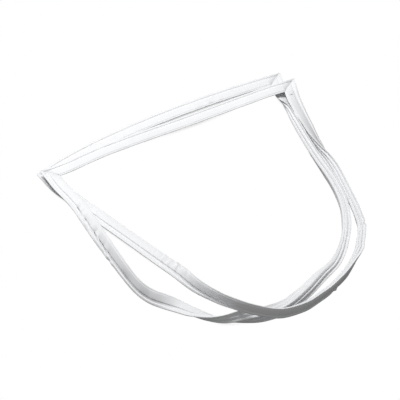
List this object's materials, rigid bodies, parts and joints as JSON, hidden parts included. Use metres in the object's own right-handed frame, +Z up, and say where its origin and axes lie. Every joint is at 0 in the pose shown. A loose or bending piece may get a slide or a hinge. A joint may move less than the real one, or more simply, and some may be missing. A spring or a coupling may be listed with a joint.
{
  "type": "refrigerator door gasket",
  "caption": "Soft white magnetic door seal for a refrigerator, a welded rectangular loop of hollow profile wound into a double coil as it is packed and sold.",
  "frame": {"origin": "middle of the coil's outline on the floor it lies on", "axes": "+Z up from the floor, +X along the two short sides, which lie side by side at the back, and -Y towards the round front of the coil"},
  "size_m": [0.5772, 0.5898, 0.061],
  "materials": {
    "soft_vinyl": "satin",
    "ferrite_strip": "matt"
  },
  "bodies": {
    "root": {"gasket_profile": "soft_vinyl", "magnet_back_upper": "ferrite_strip", "magnet_long_upper": "ferrite_strip", "magnet_back_lower": "ferrite_strip", "magnet_long_lower": "ferrite_strip"}
  },
  "joints": []
}
